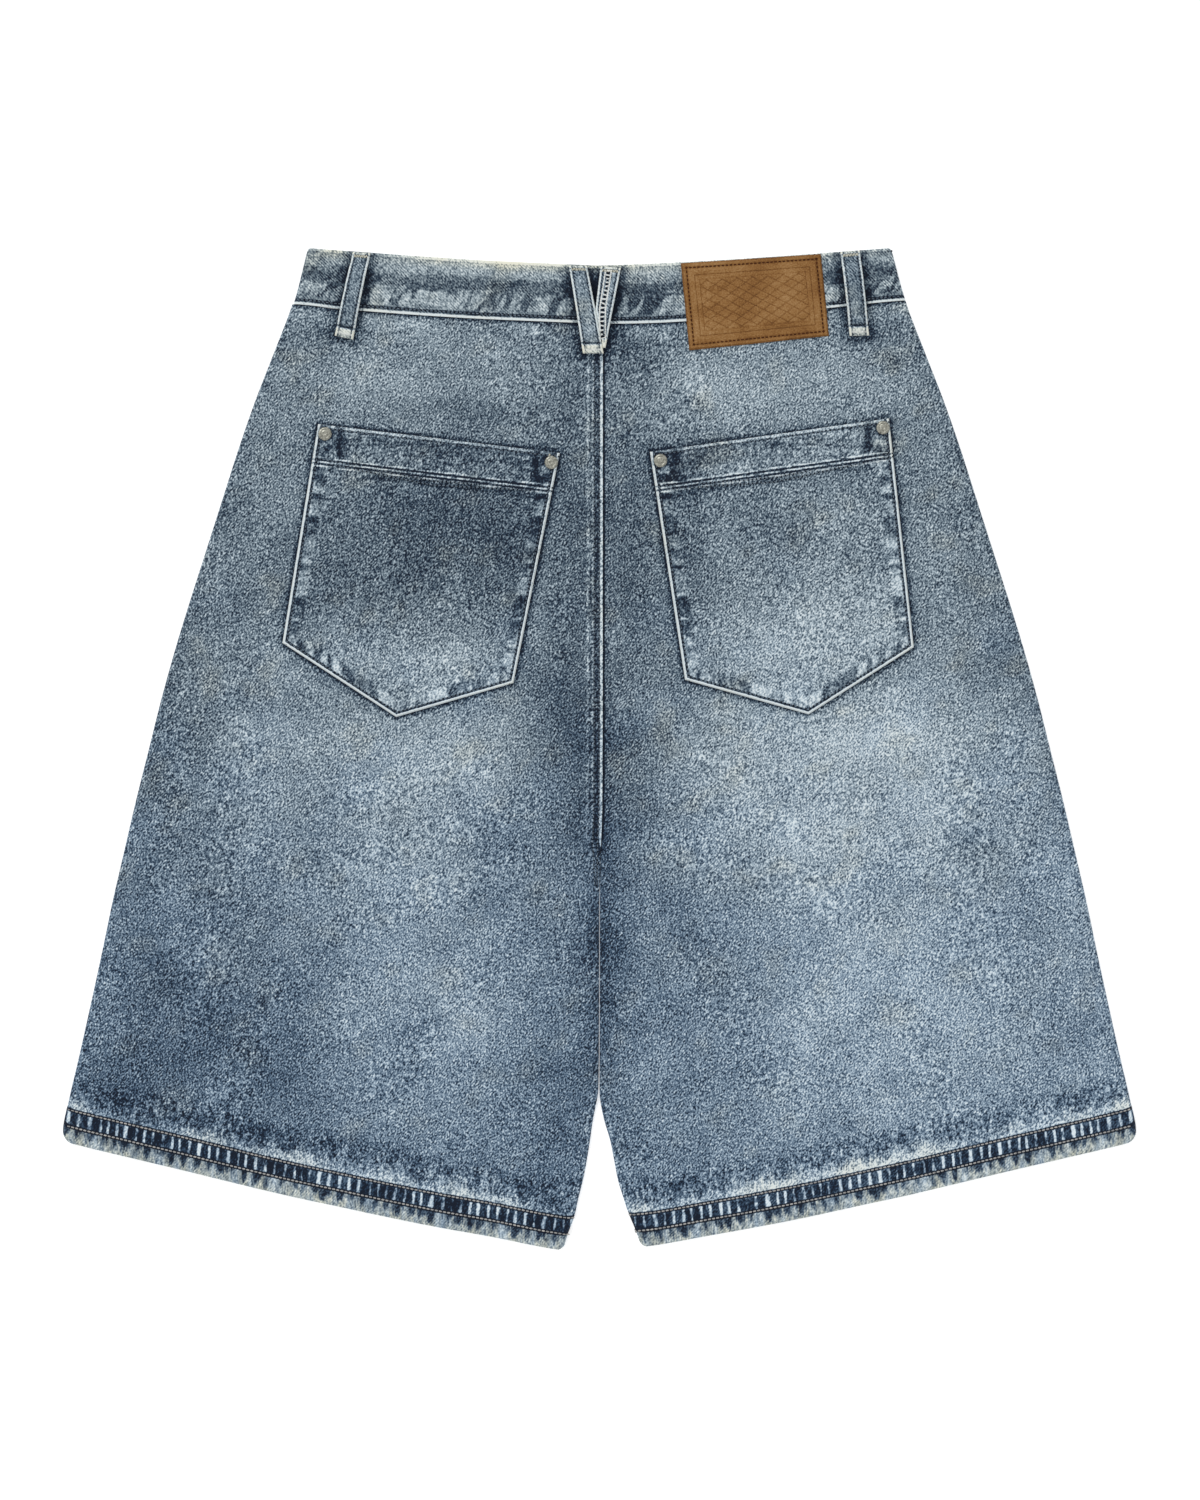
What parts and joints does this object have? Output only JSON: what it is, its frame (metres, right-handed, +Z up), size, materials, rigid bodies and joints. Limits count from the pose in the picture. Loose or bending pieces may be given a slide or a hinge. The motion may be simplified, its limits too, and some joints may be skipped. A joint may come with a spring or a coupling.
{
  "type": "denim shorts",
  "caption": "Wide knee-length denim shorts laid flat, back up, with patch pockets, belt loops, a leather patch and a closed waistband.",
  "frame": {"origin": "on the floor, in the middle of the garment's outline", "axes": "+X to the wearer's right, along the widest part of the hems; +Y to the waist; +Z up from the floor, out of the back"},
  "size_m": [0.7734, 0.7214, 0.0177],
  "materials": {
    "denim": "washed blue twill with pale wear along seams and edges",
    "band_denim": "washed blue twill, worn pale at the edges",
    "patch_leather": "tan leather with a pressed border, matt",
    "rivet_metal": "aged silver-grey metal"
  },
  "bodies": {
    "root": {"front_left": "denim", "front_right": "denim", "back_left": "denim", "back_right": "denim", "waistband": "band_denim", "back_pocket_left": "denim", "back_pocket_right": "denim", "belt_loop_back_left": "band_denim", "belt_loop_back_right": "band_denim", "belt_loop_centre_left": "band_denim", "belt_loop_centre_right": "band_denim", "leather_patch": "patch_leather", "rivet_left_outer": "rivet_metal", "rivet_left_inner": "rivet_metal", "rivet_right_inner": "rivet_metal", "rivet_right_outer": "rivet_metal", "waist_button": "rivet_metal"}
  },
  "joints": []
}
